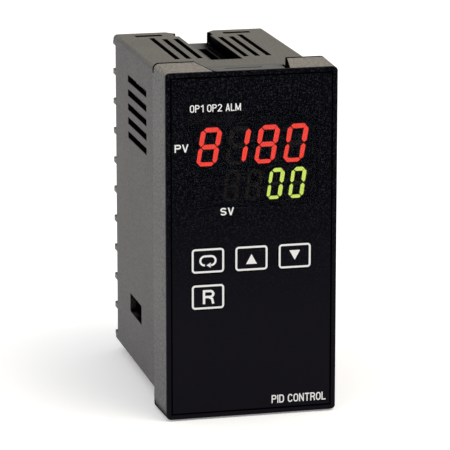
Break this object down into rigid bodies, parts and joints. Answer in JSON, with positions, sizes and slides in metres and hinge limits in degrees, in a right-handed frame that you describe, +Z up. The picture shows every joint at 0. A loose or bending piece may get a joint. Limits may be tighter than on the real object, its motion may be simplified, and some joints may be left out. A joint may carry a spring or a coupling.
{
  "type": "pid temperature controller",
  "caption": "Panel-mounted PID temperature controller with a tall black face, red and green digit displays, press keys, a vented grey case and rear screw terminals.",
  "frame": {"origin": "centre of the bezel's rear face, which seats on the panel, at the middle of the panel cut-out", "axes": "+Z up the tall side, the face looks along -Y, the case runs back along +Y, and +X is to the right seen from the front"},
  "size_m": [0.048, 0.079, 0.096],
  "materials": {
    "bezel_grey": "fine spark texture, slightly lighter grey",
    "zinc_steel": "bright zinc plate",
    "chip_black": "moulded epoxy",
    "case_grey": "fine spark texture, warm grey",
    "contact_brass": "tinned brass",
    "board_green": "solder-masked glass epoxy",
    "window_smoke": "smoked clear plastic",
    "can_sleeve": "shrunk sleeve on an aluminium can",
    "cover_black": "satin black",
    "film_black": "fine velvet-textured film, white print",
    "fuse_cream": "ceramic body",
    "light_clear": "unlit tinted light pipe",
    "plug_white": "natural nylon",
    "key_black": "film-covered key with a printed white outline",
    "module_grey": "moulded display shell",
    "segment_green": "lit yellow-green diffuser bars",
    "header_black": "moulded nylon",
    "relay_blue": "moulded sealed case",
    "disc_blue": "dipped epoxy",
    "switch_black": "moulded switch body",
    "stem_brown": "moulded stem",
    "block_black": "glass-filled moulding",
    "ferrite": "sintered ferrite",
    "tape_yellow": "polyester tape over the winding",
    "segment_red": "lit red diffuser bars"
  },
  "bodies": {
    "housing": {"bezel_frame": "bezel_grey", "board_screws": "zinc_steel", "bridge_rectifier": "chip_black", "case_shell": "case_grey", "contacts_left": "contact_brass", "contacts_right": "contact_brass", "display_board": "board_green", "display_window": "window_smoke", "filter_capacitor": "can_sleeve", "front_cover": "cover_black", "front_film": "film_black", "fuse_link": "fuse_cream", "indicator_light_1": "light_clear", "indicator_light_2": "light_clear", "indicator_light_3": "light_clear", "inner_plug": "plug_white", "input_capacitor": "can_sleeve", "input_converter": "chip_black", "junction_sensor": "chip_black", "lower_display": "module_grey", "lower_segments": "segment_green", "main_board": "board_green", "main_header": "header_black", "memory_chip": "chip_black", "microcontroller": "chip_black", "output_capacitor": "can_sleeve", "power_board": "board_green", "power_header": "header_black", "relay_alarm": "relay_blue", "relay_output_1": "relay_blue", "relay_output_2": "relay_blue", "surge_disc": "disc_blue", "switch_body_down": "switch_black", "switch_body_menu": "switch_black", "switch_body_reset": "switch_black", "switch_body_up": "switch_black", "terminal_block_left": "block_black", "terminal_block_right": "block_black", "terminal_screws_left": "zinc_steel", "terminal_screws_right": "zinc_steel", "transformer_core": "ferrite", "transformer_winding": "tape_yellow", "upper_display": "module_grey", "upper_segments": "segment_red"},
    "menu_key": {"key_menu": "key_black", "switch_stem_menu": "stem_brown"},
    "up_key": {"key_up": "key_black", "switch_stem_up": "stem_brown"},
    "down_key": {"key_down": "key_black", "switch_stem_down": "stem_brown"},
    "reset_key": {"key_reset": "key_black", "switch_stem_reset": "stem_brown"}
  },
  "joints": [
    {"name": "menu_press", "type": "slide", "parent": "housing", "child": "menu_key", "axis": [0, 1, 0], "range_m": [0, 0.0005], "stiffness_N_per_m": 3000},
    {"name": "up_press", "type": "slide", "parent": "housing", "child": "up_key", "axis": [0, 1, 0], "range_m": [0, 0.0005], "stiffness_N_per_m": 3000},
    {"name": "down_press", "type": "slide", "parent": "housing", "child": "down_key", "axis": [0, 1, 0], "range_m": [0, 0.0005], "stiffness_N_per_m": 3000},
    {"name": "reset_press", "type": "slide", "parent": "housing", "child": "reset_key", "axis": [0, 1, 0], "range_m": [0, 0.0005], "stiffness_N_per_m": 3000}
  ]
}
